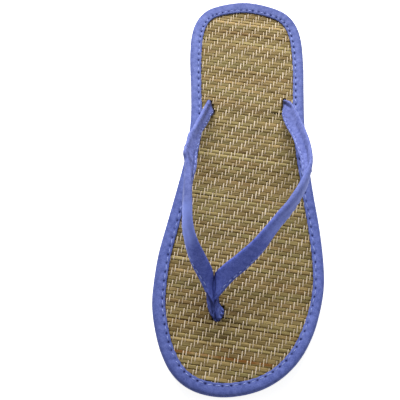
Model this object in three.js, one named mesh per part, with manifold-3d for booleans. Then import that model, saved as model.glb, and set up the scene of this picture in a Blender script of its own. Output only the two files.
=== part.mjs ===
// A thong slipper for the left foot: black foam outsole, woven rattan insole with a bound edge, blue straps.
// Millimetres, +Z up, standing on the floor z = 0. The toe points to -Y and the foot's outer side to +X.
// The origin is on the floor, under the middle of the sole.

import * as THREE from 'three';
import { mergeVertices } from 'three/addons/utils/BufferGeometryUtils.js';
import Module from 'manifold-3d';

const wasm = await Module();
wasm.setup();

// Driving dimensions
const OUTLINE_STEPS = 96; // flats round the outline
const SEAT_GAP = 0.3; // between two pieces that bear on each other
const SOLE_THICK = 8.7; // foam sheet
const SOLE_INSET_TOP = 1.0; // how far the foam stays inside the bound edge, at its top
const SOLE_INSET_FLOOR = 2.0; // and at the floor, because the cut side leans in
const SOLE_EDGE_ROUND = 0.6; // broken edge at the floor
const MAT_THICK = 3.2; // rattan mat on its board
const TAPE_THICK = 0.9; // binding tape, hem included
const TAPE_WIDTH = 7.0; // of the tape over the mat and under it
const NOSE_STEPS = 6; // flats round the tape's rounded edge
const STRAP_WIDTH = 9.4;
const STRAP_THICK = 2.6;
const STRAP_SPAN_STEPS = 4; // sections between two stations of a strap
const STRAP_FACE_STEPS = 4; // flats across a strap's face
const STRAP_EDGE_ROUND = 0.8; // how far a face stops short of the strap's edge
const SLIT_CLEARANCE = 0.4; // round a strap where it goes through the mat

// Heights that follow from them
const MAT_BOTTOM = SOLE_THICK + SEAT_GAP;
const MAT_TOP = MAT_BOTTOM + MAT_THICK;
const TAPE_TOP = MAT_TOP + SEAT_GAP + TAPE_THICK;
const NOSE_RADIUS = (TAPE_TOP - MAT_BOTTOM) / 2;
const NOSE_HEIGHT = MAT_BOTTOM + NOSE_RADIUS;

// Outline of the footbed over the binding: a row for each section from heel to toe,
// with the edge's x on the side of the big toe (inner) and of the little toe (outer).
const HEEL_END = { x: -1.5, y: 125 };
const TOE_END = { x: -8.5, y: -125 };
const OUTLINE = [
  { y: 119, inner: -24.5, outer: 22.0 },
  { y: 112, inner: -31.0, outer: 29.0 },
  { y: 102, inner: -34.4, outer: 33.0 },
  { y: 85, inner: -35.0, outer: 35.0 },
  { y: 62, inner: -33.3, outer: 35.6 },
  { y: 40, inner: -32.4, outer: 36.3 },
  { y: 15, inner: -34.6, outer: 39.0 },
  { y: -5, inner: -38.2, outer: 41.9 },
  { y: -25, inner: -42.3, outer: 45.3 },
  { y: -45, inner: -46.3, outer: 47.6 },
  { y: -60, inner: -47.8, outer: 48.0 },
  { y: -75, inner: -48.1, outer: 45.8 },
  { y: -90, inner: -45.4, outer: 41.4 },
  { y: -104, inner: -40.6, outer: 33.9 },
  { y: -115, inner: -33.6, outer: 23.0 },
  { y: -122, inner: -23.6, outer: 9.5 },
];

// Straps: a row for each section from the toe post, over the instep, to the side of the heel.
// x, y and rise (above the mat) place the middle of the strap, rear points from its front edge to its
// rear edge, and cup is how far the section bows outwards.
const STRAP_FOOT = -MAT_THICK; // the strap's ends stand on the foam, under the mat
const STRAP_STAND = 1.5; // how far they stand straight up out of the mat
const OUTER_STRAP = [
  { x: -10.2, y: -77.0, rise: STRAP_FOOT, rear: [0, 1, 0], cup: 0 },
  { x: -10.2, y: -77.0, rise: 0, rear: [0, 1, 0], cup: 0 },
  { x: -10.2, y: -77.0, rise: STRAP_STAND, rear: [0, 1, 0], cup: 0 },
  { x: -12.0, y: -71.0, rise: 8, rear: [-0.25, 0.97, -0.05], cup: 0 },
  { x: -7.8, y: -62.6, rise: 18, rear: [-0.7, 0.68, 0.2], cup: 0.3 },
  { x: 0.7, y: -56.8, rise: 27.5, rear: [-0.66, 0.54, 0.5], cup: 0.5 },
  { x: 8.9, y: -50.6, rise: 36, rear: [-0.62, 0.25, 0.74], cup: 0.6 },
  { x: 18.0, y: -40.0, rise: 44.5, rear: [-0.48, 0.05, 0.88], cup: 0.8 },
  { x: 26.8, y: -28.5, rise: 49, rear: [-0.38, 0.05, 0.93], cup: 0.9 },
  { x: 31.8, y: -17.0, rise: 49, rear: [-0.05, 0.1, 0.99], cup: 1.0 },
  { x: 32.8, y: -6.5, rise: 46, rear: [0.6, 0.27, 0.74], cup: 1.2 },
  { x: 31.6, y: 10.0, rise: 36.5, rear: [0.74, 0.39, 0.55], cup: 1.4 },
  { x: 27.9, y: 30.0, rise: 22.5, rear: [0.68, 0.55, 0.5], cup: 1.0 },
  { x: 25.4, y: 45.0, rise: 9, rear: [0.25, 0.93, 0.28], cup: 0.5 },
  { x: 23.4, y: 52.6, rise: STRAP_STAND, rear: [0.05, 1, 0], cup: 0 },
  { x: 23.4, y: 52.6, rise: 0, rear: [0.05, 1, 0], cup: 0 },
  { x: 23.4, y: 52.6, rise: STRAP_FOOT, rear: [0.05, 1, 0], cup: 0 },
];
const INNER_STRAP = [
  { x: -13.4, y: -77.0, rise: STRAP_FOOT, rear: [0, 1, 0], cup: 0 },
  { x: -13.4, y: -77.0, rise: 0, rear: [0, 1, 0], cup: 0 },
  { x: -13.4, y: -77.0, rise: STRAP_STAND, rear: [0, 1, 0], cup: 0 },
  { x: -14.8, y: -70.5, rise: 8, rear: [0.5, 0.86, 0], cup: 0 },
  { x: -18.6, y: -62.0, rise: 17, rear: [0.58, 0.77, 0.2], cup: 0.3 },
  { x: -23.8, y: -55.5, rise: 26.5, rear: [0.68, 0.45, 0.56], cup: 0.6 },
  { x: -27.2, y: -49.5, rise: 34.5, rear: [0.58, 0.12, 0.8], cup: 0.9 },
  { x: -29.2, y: -42.0, rise: 42, rear: [0.38, -0.1, 0.9], cup: 1.2 },
  { x: -29.2, y: -31.5, rise: 46.5, rear: [0.34, -0.05, 0.94], cup: 1.6 },
  { x: -28.9, y: -19.5, rise: 47, rear: [0, 0.1, 0.98], cup: 1.8 },
  { x: -28.9, y: -6.8, rise: 43.5, rear: [-0.48, 0.25, 0.82], cup: 1.8 },
  { x: -29.2, y: 5.0, rise: 36.5, rear: [-0.62, 0.42, 0.66], cup: 1.4 },
  { x: -26.7, y: 22.0, rise: 25, rear: [-0.42, 0.58, 0.7], cup: 1.0 },
  { x: -23.4, y: 37.0, rise: 12.5, rear: [-0.34, 0.78, 0.52], cup: 0.6 },
  { x: -20.7, y: 49.0, rise: STRAP_STAND, rear: [-0.2, 1, 0], cup: 0 },
  { x: -20.7, y: 49.0, rise: 0, rear: [-0.2, 1, 0], cup: 0 },
  { x: -20.7, y: 49.0, rise: STRAP_FOOT, rear: [-0.2, 1, 0], cup: 0 },
];

// Evenly spaced points of the outline, anticlockwise from the heel, centred on the origin.
function footOutline() {
  const innerSide = OUTLINE.map((row) => new THREE.Vector3(row.inner, row.y, 0));
  const outerSide = OUTLINE.map((row) => new THREE.Vector3(row.outer, row.y, 0)).reverse();
  const heel = new THREE.Vector3(HEEL_END.x, HEEL_END.y, 0);
  const toe = new THREE.Vector3(TOE_END.x, TOE_END.y, 0);
  const curve = new THREE.CatmullRomCurve3([heel, ...innerSide, toe, ...outerSide], true, 'centripetal');
  const points = curve.getSpacedPoints(OUTLINE_STEPS).slice(0, OUTLINE_STEPS);
  const middle = new THREE.Box3().setFromPoints(points).getCenter(new THREE.Vector3());
  return points.map((point) => point.sub(middle));
}

const EDGE = footOutline();
const INWARD = EDGE.map((_, i) => {
  const before = EDGE[(i + OUTLINE_STEPS - 1) % OUTLINE_STEPS];
  const after = EDGE[(i + 1) % OUTLINE_STEPS];
  return new THREE.Vector3(before.y - after.y, after.x - before.x, 0).normalize();
});

// The outline drawn in by a distance, at a height.
function edgeRing(inset, z) {
  return EDGE.map((point, i) => point.clone().addScaledVector(INWARD[i], inset).setZ(z));
}

// Triangles that close a flat ring of points.
function capFaces(ring, first) {
  const centre = ring.reduce((sum, point) => sum.add(point), new THREE.Vector3()).divideScalar(ring.length);
  const normal = new THREE.Vector3();
  ring.forEach((point, i) => {
    const next = ring[(i + 1) % ring.length];
    normal.add(point.clone().sub(centre).cross(next.clone().sub(centre)));
  });
  const turn = new THREE.Quaternion().setFromUnitVectors(normal.normalize(), new THREE.Vector3(0, 0, 1));
  const flat = ring.map((point) => {
    const turned = point.clone().sub(centre).applyQuaternion(turn);
    return new THREE.Vector2(turned.x, turned.y);
  });
  return THREE.ShapeUtils.triangulateShape(flat, []).map((face) => face.map((corner) => corner + first));
}

function signedVolume(points, faces) {
  return faces.reduce((sum, [a, b, c]) => sum + points[a].dot(points[b].clone().cross(points[c])) / 6, 0);
}

// A solid skinned over rings of equal length; a looped skin joins its last ring to its first.
function skin(rings, looped = false) {
  const size = rings[0].length;
  const points = rings.flat();
  const faces = [];
  const bands = looped ? rings.length : rings.length - 1;
  for (let r = 0; r < bands; r += 1) {
    const low = r * size;
    const high = ((r + 1) % rings.length) * size;
    for (let i = 0; i < size; i += 1) {
      const j = (i + 1) % size;
      faces.push([low + i, low + j, high + j], [low + i, high + j, high + i]);
    }
  }
  if (!looped) {
    const last = (rings.length - 1) * size;
    capFaces(rings[0], 0).forEach(([a, b, c]) => faces.push([a, c, b]));
    faces.push(...capFaces(rings[rings.length - 1], last));
  }
  const outward = signedVolume(points, faces) > 0;
  const geometry = new THREE.BufferGeometry().setFromPoints(points);
  geometry.setIndex(faces.flatMap(([a, b, c]) => (outward ? [a, b, c] : [a, c, b])));
  return geometry;
}

function toManifold(geometry) {
  const merged = mergeVertices(geometry, 1e-4);
  const mesh = new wasm.Mesh({
    numProp: 3,
    vertProperties: new Float32Array(merged.attributes.position.array),
    triVerts: new Uint32Array(merged.index.array),
  });
  return new wasm.Manifold(mesh);
}

function fromManifold(solid) {
  const mesh = solid.getMesh();
  const geometry = new THREE.BufferGeometry();
  geometry.setAttribute('position', new THREE.BufferAttribute(new Float32Array(mesh.vertProperties), 3));
  geometry.setIndex(Array.from(mesh.triVerts));
  return geometry;
}

// Foam sheet with a side that leans in to the floor.
function outsoleGeometry() {
  return skin([
    edgeRing(SOLE_INSET_FLOOR + SOLE_EDGE_ROUND, 0),
    edgeRing(SOLE_INSET_FLOOR, SOLE_EDGE_ROUND),
    edgeRing(SOLE_INSET_TOP, SOLE_THICK),
  ]);
}

// Mat with a rim that is thinner below, where the tape is turned under it.
function matGeometry() {
  const flapTop = MAT_BOTTOM + TAPE_THICK + SEAT_GAP;
  const rimInset = TAPE_THICK + SEAT_GAP;
  const rebateInset = TAPE_WIDTH + SEAT_GAP;
  return skin([
    edgeRing(rebateInset, MAT_BOTTOM),
    edgeRing(rebateInset, flapTop),
    edgeRing(NOSE_RADIUS, flapTop),
    edgeRing(rimInset, NOSE_HEIGHT),
    edgeRing(NOSE_RADIUS, MAT_TOP),
  ]);
}

// Half round of the tape's edge, from over the mat to under it, as inset and height.
function noseArc(radius) {
  return Array.from({ length: NOSE_STEPS + 1 }, (_, i) => {
    const angle = Math.PI * (0.5 - i / NOSE_STEPS);
    return { inset: NOSE_RADIUS - radius * Math.cos(angle), z: NOSE_HEIGHT + radius * Math.sin(angle) };
  });
}

// Tape folded round the rim of the mat: a C in section, all the way round.
function bindingGeometry() {
  const section = [
    { inset: TAPE_WIDTH, z: TAPE_TOP - TAPE_THICK },
    { inset: TAPE_WIDTH, z: TAPE_TOP - TAPE_THICK / 4 },
    { inset: TAPE_WIDTH - TAPE_THICK / 2, z: TAPE_TOP },
    ...noseArc(NOSE_RADIUS),
    { inset: TAPE_WIDTH, z: MAT_BOTTOM },
    { inset: TAPE_WIDTH, z: MAT_BOTTOM + TAPE_THICK },
    ...noseArc(NOSE_RADIUS - TAPE_THICK).reverse(),
  ];
  return skin(section.map((point) => edgeRing(point.inset, point.z)), true);
}

// Section of a strap: across runs from the front edge to the rear edge, out is away from the foot.
function strapSection(cup, grow) {
  const half = STRAP_WIDTH / 2 + grow;
  const thick = STRAP_THICK / 2 + grow;
  const face = half - STRAP_EDGE_ROUND;
  const bow = (across) => cup * (1 - (across / half) ** 2);
  const along = Array.from({ length: STRAP_FACE_STEPS + 1 }, (_, i) => face * ((2 * i) / STRAP_FACE_STEPS - 1));
  return [
    ...along.map((across) => ({ across, out: bow(across) - thick })),
    { across: half, out: STRAP_EDGE_ROUND - thick },
    { across: half, out: thick - STRAP_EDGE_ROUND },
    ...along.reverse().map((across) => ({ across, out: bow(across) + thick })),
    { across: -half, out: thick - STRAP_EDGE_ROUND },
    { across: -half, out: STRAP_EDGE_ROUND - thick },
  ];
}

// A strap through its stations; grow swells it on all sides, for the slit that lets it through the mat.
function strapGeometry(stations, side, grow = 0) {
  const path = new THREE.CatmullRomCurve3(
    stations.map((row) => new THREE.Vector3(row.x, row.y, row.rise + MAT_TOP)),
  );
  const rearward = new THREE.CatmullRomCurve3(stations.map((row) => new THREE.Vector3(...row.rear)));
  const spans = stations.length - 1;
  const steps = spans * STRAP_SPAN_STEPS;
  const rings = [];
  for (let step = 0; step <= steps; step += 1) {
    const t = step / steps;
    const span = Math.min(Math.floor(step / STRAP_SPAN_STEPS), spans - 1);
    const cup = THREE.MathUtils.lerp(stations[span].cup, stations[span + 1].cup, t * spans - span);
    const middle = path.getPoint(t);
    const ahead = path.getTangent(t);
    const rear = rearward.getPoint(t).normalize();
    const out = new THREE.Vector3().crossVectors(rear, ahead).setLength(side);
    rings.push(strapSection(cup, grow).map((corner) => middle.clone()
      .addScaledVector(rear, corner.across)
      .addScaledVector(out, corner.out)));
  }
  if (grow > 0) {
    const down = new THREE.Vector3(0, 0, -grow);
    rings.unshift(rings[0].map((point) => point.clone().add(down)));
    rings.push(rings[rings.length - 1].map((point) => point.clone().add(down)));
  }
  return skin(rings);
}

const OUTER = -1; // which side of the strap faces away from the foot
const INNER = 1;

function upperGeometry() {
  const outer = toManifold(strapGeometry(OUTER_STRAP, OUTER));
  const inner = toManifold(strapGeometry(INNER_STRAP, INNER));
  return fromManifold(outer.add(inner));
}

function insoleGeometry() {
  const outer = toManifold(strapGeometry(OUTER_STRAP, OUTER, SLIT_CLEARANCE));
  const inner = toManifold(strapGeometry(INNER_STRAP, INNER, SLIT_CLEARANCE));
  return fromManifold(toManifold(matGeometry()).subtract(outer).subtract(inner));
}

function piece(name, geometry, colour, roughness) {
  geometry.computeVertexNormals();
  const mesh = new THREE.Mesh(geometry, new THREE.MeshStandardMaterial({ color: colour, roughness, metalness: 0 }));
  mesh.name = name;
  return mesh;
}

const slipper = new THREE.Group();
slipper.name = 'rattan_slipper';
slipper.add(
  piece('outsole', outsoleGeometry(), 0x17181a, 0.85),
  piece('insole', insoleGeometry(), 0xa08a52, 0.7),
  piece('edge_binding', bindingGeometry(), 0x6a72cc, 0.8),
  piece('thong_upper', upperGeometry(), 0x5f68c4, 0.75),
);

export default slipper;
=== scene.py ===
import math

import bpy
import numpy as np
from mathutils import Matrix, Vector


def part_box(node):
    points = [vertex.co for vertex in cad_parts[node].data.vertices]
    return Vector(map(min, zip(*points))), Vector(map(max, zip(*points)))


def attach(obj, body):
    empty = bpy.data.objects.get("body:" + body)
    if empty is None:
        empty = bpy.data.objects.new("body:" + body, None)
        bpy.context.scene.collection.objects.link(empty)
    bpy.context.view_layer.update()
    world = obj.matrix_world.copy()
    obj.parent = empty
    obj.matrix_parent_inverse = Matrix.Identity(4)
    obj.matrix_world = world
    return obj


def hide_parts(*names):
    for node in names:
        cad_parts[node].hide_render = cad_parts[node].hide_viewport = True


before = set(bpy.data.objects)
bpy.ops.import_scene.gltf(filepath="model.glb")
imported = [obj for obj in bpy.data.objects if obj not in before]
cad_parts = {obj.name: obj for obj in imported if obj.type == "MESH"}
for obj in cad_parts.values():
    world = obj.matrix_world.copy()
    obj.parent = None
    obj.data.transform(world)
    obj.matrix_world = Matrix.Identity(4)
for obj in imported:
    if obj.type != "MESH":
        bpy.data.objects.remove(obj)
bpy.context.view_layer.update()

# A thong slipper for the left foot: foam sole, woven rattan footbed, bound edge and straps.
# Sizes below are in millimetres, in the part's own frame, and become metres where a mesh is made.

MM = 0.001
RNG = np.random.default_rng(11)
# What varies has a mean and a deviation, then a pitch and an amount for each wave along it.
# WAVE in a name means one such wave, SPREAD the first two, CHANGE a deviation, SPAN where it sets in.

# Heights taken from the frame
FOAM_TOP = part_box("outsole")[1].z / MM
MAT_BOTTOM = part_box("insole")[0].z / MM
MAT_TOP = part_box("insole")[1].z / MM
TAPE_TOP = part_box("edge_binding")[1].z / MM

# Sole
FOAM_INSET_TOP = 1
FOAM_INSET_FLOOR = 2
FOAM_ROUND = 0.6
FOAM_CAP_INSET = 9  # from the side to the ring that closes the underside or the top

# Binding tape and its seam
TAPE_WIDTH = 7
TAPE_LIFT = 0.25  # of the tape's inner edge over the mat
TAPE_GROOVE = 0.35  # how far the weave is pressed down beside the tape
GROOVE_SPAN = (1.6, 0.2)  # from the tape
GROOVE_HEEL_SPAN = (115, 75)  # along the foot
NOSE_RADIUS = (TAPE_TOP - MAT_BOTTOM) / 2
NOSE_HEIGHT = MAT_BOTTOM + NOSE_RADIUS
NOSE_ANGLES = np.linspace(75, -75, 11)
TUCK = 1.5  # how far the tape reaches under the mat from its nose
SEAM_INSET = TAPE_WIDTH - 1.55
STITCH_PITCH_TOE = 5.4
STITCH_PITCH_HEEL = 4.4
STITCH_PITCH_SPAN = (10, 80)  # along the foot
STEPS_PER_STITCH = 16
STITCH_SHARE = 0.52  # of the pitch that the thread shows
STITCH_LENGTHS = (0.75, 1.1)  # the shortest and the longest, as shares of that
STITCH_SLANT_SPREAD = (0.1, 0.12)
STITCH_HEIGHT_SPREAD = (-0.02, 0.04)
STITCH_OFF = (0.12, 0.08)  # deviation of a stitch from its place, along the seam and across it
THREAD_RADIUS = 0.24
THREAD_SINK = 0.32  # of a stitch's ends under the tape's top
THREAD_RISE = 0.22  # of its middle over its ends
PULL = 0.34  # how far a stitch pulls the tape down at its needle hole
PULL_REACH = (0.75, 0.8)  # along the seam and across it
PILLOW = 0.07  # how far the tape swells between two holes, beside the seam
PILLOW_FROM_SEAM = 1.2
PILLOW_ACROSS = 0.9
# Painted shade in the pits of the tape's needle holes
HOLE_SHADE = 1.4  # of a needle hole, more than full in its middle
HOLE_SHADE_WAVE = (4.5, 0.6)
HOLE_SHADE_RANGE = (0.4, 2.4)
HOLE_REACH = (0.62, 0.45)
SCALLOP = 0.1  # of the tape's inner edge from stitch to stitch
SCALLOP_SPAN = (SEAM_INSET - 2, TAPE_WIDTH)
TAPE_EDGE_WAVE = (19, 0.1)
TAPE_EDGE_EASE = 20  # the wave fades over this length where the outline closes
TAPE_SHIFT_SPAN = (SEAM_INSET - 3, SEAM_INSET - 0.6)
TAPE_SHIFT = [
    # x, y, reach, how much further in the seam and the inner edge lie there
    (-46, -75, 45, 0.55),
    (0, -128, 30, 0.3),
    (46, -45, 50, -0.65),
    (2, 126, 38, 1),
    (36, 72, 30, -0.45),
    (-33, 58, 18, -0.6),
]
# Soft spots of painted shade on the tape: on its inner side, round the toe and at the heel
TAPE_SHADE_SPOTS = [
    # x, y, reach, amount
    (-50, -45, 60, 0.11),
    (-12, -125, 40, 0.11),
    (-38, -108, 34, 0.14),
    (0, 130, 30, 0.26),
    (30, 115, 20, 0.15),
    (-20, -124, 15, 0.08),
]
TAPE_RIM_SHADE = 0.18  # of painted shade along the tape's outer rim, where it turns down away from the light
TAPE_RIM_SHADE_SPAN = (3, 0.5)
# Painted sheen: the tape paler and greyer towards the heel, where the key light falls
TAPE_SHEEN = 0.4  # towards the heel
TAPE_SHEEN_SPAN = (0, 70)

# Weave: thin warp threads along the foot over and under straw wefts, in a two and two twill
TWILL_REPEAT = 4
TWILL_OVER = 2
WEAVE_TURN = math.radians(6.3)  # of the warp from the foot's length, towards the outer side
WARP_PITCH = 1.77
WARP_WIDTH = 0.58
WARP_THICK = 0.3
WARP_OVER = 0.3  # height of a thread's middle over the weave's middle where it shows
WARP_UNDER = -0.47  # and where it runs under a strip
WARP_DRIFT_FROM = 20  # towards the heel the warp turns back to the foot's length
WARP_DRIFT = 0.00042
WARP_COUNT = 34  # on each side of the middle
WARP_STEP = 0.55
WARP_CROSSING_SPAN = (0.28, 0.72)  # of the way from one weft to the next
WARP_PLACE_CHANGE = 0.08
WARP_WANDER_WAVE = (9, 0.08)
WARP_BREADTH = (1, 0.06), (3, 0.1)
WARP_TONE = (0.55, 0.04), (4.4, 0.08)
WARP_TONE_LEAST = 0.05
WEFT_PITCH_HEEL = 2.18
WEFT_PITCH_TOE = 2.38
WEFT_PITCH_SPAN = (-100, 100)  # along the warp
WEFT_WIDTH_CHANGE = 0.085
WEFT_WIDTH_LIMIT = 0.2
WEFT_WIDTH_WAVE = (14, 0.025)
WEFT_THICK = 0.76
WEFT_THICK_CHANGE = 0.05
WEFT_WANDER_WAVE = (24, 0.08)
WEFT_CROWN_CHANGE = 0.09
WEFT_EDGE_SPREAD = (0.3, 0.3)  # of the height where two strips meet, in half thicknesses
WEFT_EDGE_RANGE = (-0.4, 0.75)
WEFT_TONE = (0.48, 0.03), (26, 0.05), (7, 0.06)
WEFT_TONE_ACROSS = 0.13  # deviation of the tone from one point of the section to the next
# Painted light: how much lighter each strip is on its side towards the heel, where the key light falls,
# and darker on the other
WEFT_PAINTED_LIGHT_TILT = 0.05
WEFT_GREEN = (0.55, 0.13), (20, 0.24)
WEFT_BLUSH = (-0.06, 0.05), (13, 0.12)
WEFT_BLUSH_MOST = 0.5
FIBRE_SCALE = (0.16, 5.5, 7.3)  # of the fibres' noise along a strip, across it and from strip to strip
PINCH = 0.2  # how far a weft's edge draws back where a thread dives beside it
PINCH_REACH = 0.5
WEAVE_MIDDLE = MAT_TOP - 0.6
WEFT_HEIGHT = (WEAVE_MIDDLE, 0.03), (16, 0.03)
WEAVE_INSET = TAPE_WIDTH - 1.6  # the weave ends under the tape
WEAVE_END = 132  # the strips are laid from here to the same place at the other end
BOARD_TOP = MAT_TOP - 1.35
BOARD_CAP_INSET = TAPE_WIDTH + 2  # of the rings that close the board

# Strips that stand out in the mat, by their place along the warp
ACCENT_SPAN = (-0.3, 0.1)  # across a strip, from its middle line
RUST_SPAN = (-0.5, -0.1)
RUST_SHARE = 0.7
RUST_WAVE = (5, 0.25)
ACCENTS = [
    # v, from u, to u, tone, rust, warmth
    (108, -40, 20, 0.62, 0, 1),
    (94.5, -36, 17, 0.09, 0, 0.4),
    (74, -36, 18, 0.16, 0, 0.2),
    (64.2, -30, -4, -0.12, 0, 0),
    (61, -30, 6, 0.16, 0.25, 0.5),
    (54.5, -36, -12, 0.16, 0, 0.2),
    (43.5, -24, 14, -0.1, 0, 0),
    (35.5, -30, 0, 0.14, 0, 0),
    (24.3, -26, 14, -0.12, 0, 0),
    (17.2, -30, 28, 0.34, 0, 0.2),
    (-8, -30, 30, -0.1, 0, 0),
    (-36, -6, 34, 0.18, 0.3, 0.5),
    (-51, -42, 16, 0.5, 0, 0),
    (-58, -34, -8, 0.22, 0, 0),
    (-94.7, -38, 22, -0.1, 0, 0),
    (-103.2, -36, 34, 0.1, 1.6, 1),
    (-105.6, -36, 34, 0.18, 0, 0.5),
    (-116.2, -8, 12, 0.32, 0.2, 0.5),
]
# Soft patches painted into the mat's tone: painted shadow in front of and beside the toe post, painted
# light where the straps' cast shadows fall, and larger lighter and darker patches
MAT_SHADE_AND_TONE = [
    # x, y, reach, tone
    (24.6, 34.3, 7, 0.14),
    (23.2, 11.4, 11, 0.09),
    (-10.3, 7.2, 14, 0.08),
    (6.1, -10.4, 13, -0.13),
    (-15.1, -18.4, 13, 0.09),
    (0.8, -61, 8, -0.13),
    (-22.2, -74.4, 11, -0.12),
    (-6.2, -85.7, 9, -0.11),
    (24.9, -88, 14, 0.11),
    (-12, -52, 7, 0.14),
    (8, -55, 6, 0.1),
    (-17.5, 42, 7, 0.12),
]
# Gaps that have opened between two strips
GAP_CATCH = 0.62 * WEFT_PITCH_TOE  # how far a gap may be from the edge that it opens
GAPS = [
    # v, from u, to u, opening
    (-10, -28, 4, 0.19),
    (48.9, 9, 22, 0.45),
    (-81.8, -2.5, 9, 0.34),
    (-30.5, -12, 14, 0.16),
    (72, -26, -2, 0.06),
]

# Straps, close to the part's; rear is the direction from a strap's front edge to its rear edge
STRAP_WIDTH = 9.4
STRAP_THICK = 2.6
STRAP_FOOT = MAT_BOTTOM - MAT_TOP  # rise of a strap's end, in its slit
STRAP_STAND = 1.5  # rise up to which it stands upright
STRAP_STEPS = 36  # from one station to the next
STRAP_COLUMNS = 37  # points across a face
STRAP_ROUNDNESS = 7  # of the padding towards an edge, higher is fuller
STRAP_BOW_WAVE = (9, 0.1)
STRAP_TWIST_WAVE = (6, 0.09)
# A painted sheen, paler and greyer on the straps' lit rear halves, sets in over these stations
STRAP_SHEEN_SPAN = (6.2, 8.2)  # stations
STRAP_SEAM = 1.3  # from the front edge to the seam
STRAP_SEAM_FROM = 3.7  # the station from which its stitches show
SEAM_GROOVE = 0.24
SEAM_GROOVE_ACROSS = 0.5
SEAM_PUCKER = 0.08
# Painted shade in the pits of the straps' needle holes
STRAP_HOLE_SHADE = 0.4
STRAP_HOLE_CHANGE = 0.3
STRAP_HOLE_REACH = (0.5, 0.42)
STRAP_PITCH = 4.5  # of the stitches
STRAP_STITCH_LENGTHS = (0.75, 1.25)
STRAP_STITCH_OFF = (0.06, 0.03)  # along in pitches, across in half widths
STRAP_THREAD_RISE = (0.12, 0.24)
STRAP_THREAD_SINK = 0.12
STRAP_STITCH_CLEAR = 0.5  # over the mat, where the lowest stitch still shows
OUTER_STRAP = [
    # x, y, rise over the mat, rear x, rear y, rear z, cup (how far the middle bows out)
    (-10.4, -77.6, STRAP_FOOT, 0.2, 0.98, 0, -1.7),
    (-10.4, -77.6, 0, 0.2, 0.98, 0, -1.7),
    (-11.2, -77.2, STRAP_STAND, 0.2, 0.98, 0, -0.9),
    (-12.9, -71, 8, -0.1, 0.99, -0.05, 0.4),
    (-7.8, -62.6, 18, -0.7, 0.68, 0.2, 0.3),
    (0.7, -56.8, 27.5, -0.66, 0.54, 0.5, 0.5),
    (8.9, -50.6, 36, -0.62, 0.25, 0.74, 0.6),
    (18, -40, 44.5, -0.48, 0.05, 0.88, 0.8),
    (26.8, -28.5, 49, -0.38, 0.05, 0.93, 0.9),
    (31.8, -17, 49, -0.05, 0.1, 0.99, 1),
    (32.8, -6.5, 46, 0.6, 0.27, 0.74, 1.2),
    (31.6, 10, 36.5, 0.74, 0.39, 0.55, 1.4),
    (27.9, 30, 22.5, 0.68, 0.55, 0.5, 1),
    (25.4, 45, 9, 0.6, 0.75, 0.28, 0.5),
    (24.2, 52.6, STRAP_STAND, 0.05, 1, 0, 0),
    (24.2, 52.6, 0, 0.05, 1, 0, 0),
    (24.2, 52.6, STRAP_FOOT, 0.05, 1, 0, 0),
]
INNER_STRAP = [
    (-13.9, -77, STRAP_FOOT, -0.31, 0.95, 0, -0.4),
    (-13.9, -77, 0, -0.31, 0.95, 0, -0.4),
    (-14.2, -76.6, STRAP_STAND, -0.31, 0.95, 0, -1),
    (-14.6, -70.5, 8, 0.08, 0.99, 0, -0.9),
    (-18.6, -62, 17, 0.58, 0.77, 0.2, 0.3),
    (-23.8, -55.5, 26.5, 0.68, 0.45, 0.56, 0.6),
    (-27.2, -49.5, 34.5, 0.58, 0.12, 0.8, 0.9),
    (-29.3, -42, 42, 0.4, -0.1, 0.91, 1),
    (-29.3, -31.5, 46.5, 0.2, -0.05, 0.98, 1.2),
    (-29.1, -19.5, 47, -0.08, 0.1, 0.99, 1.4),
    (-28.9, -6.8, 43.5, -0.48, 0.25, 0.82, 1.8),
    (-29.2, 5, 36.5, -0.62, 0.42, 0.66, 0.9),
    (-26.7, 22, 25, -0.42, 0.58, 0.7, 0.3),
    (-23.4, 37, 12.5, -0.34, 0.78, 0.52, 0.2),
    (-20.6, 48.7, STRAP_STAND, -0.24, 0.97, 0, 0),
    (-20.6, 48.7, 0, -0.24, 0.97, 0, 0),
    (-20.6, 48.7, STRAP_FOOT, -0.24, 0.97, 0, 0),
]
OUTER = -1  # the sign that turns a strap's front face away from the foot
INNER = 1

# How the padding and the width change along a strap, by stations from the toe post
OUTER_SHAPE = [
    # station, thickness, more width at the front edge, more at the rear edge
    (0, 0.8, 1.3, -1.6),
    (1.6, 0.85, 1.3, -1.6),
    (2.2, 0.75, 0.5, -1.3),
    (2.6, 0.65, -0.8, 0),
    (3, 0.65, -1.1, 1),
    (3.6, 0.85, -0.3, 1.6),
    (4.2, 1, 0.2, 0.4),
    (5, 1, 0.4, 0.3),
    (6, 1, 0.2, 0.5),
    (7, 1.1, -0.3, 0.5),
    (8, 1.2, -1, 0.5),
    (9.2, 1.2, -1, 0.3),
    (10.2, 1, -1.7, 0.2),
    (11.3, 1, -0.7, 0.2),
    (12.3, 1, 0.5, 0.1),
    (13.2, 0.9, 0.3, 0),
    (13.7, 0.75, 0.3, -1.3),
    (14.2, 0.62, 0.1, -1.7),
    (16, 0.6, 0, -1.7),
]
INNER_SHAPE = [
    (0, 1, 1.2, -0.5),
    (2, 1.05, 1, -0.5),
    (2.5, 1.6, 0.3, 0),
    (3, 1.85, 0, 0.6),
    (3.5, 1.2, 0, 0.9),
    (4.2, 1, 0, 0.3),
    (5, 1, 0, 0.5),
    (6, 1, 0, 0.5),
    (7, 1.3, 0, 0.3),
    (8, 1.6, 0, 0.2),
    (9.3, 1.5, 0, 0.2),
    (9.8, 1.2, 0, 1.2),
    (10.1, 1, 0, 3.6),
    (10.6, 1, 0, 1.4),
    (11, 1, 0, 0.2),
    (11.35, 1, -0.2, 0.8),
    (11.7, 1, -0.5, -0.1),
    (12.1, 1, -1.3, -0.5),
    (12.6, 0.95, -0.9, -0.5),
    (13.1, 0.9, -0.5, -0.3),
    (13.5, 0.8, -1, 0),
    (13.85, 0.75, 0, 0.5),
    (14.1, 0.7, 0.4, 0.4),
    (14.5, 0.65, 0.2, 0.2),
    (16, 0.6, 0, 0),
]
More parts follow.
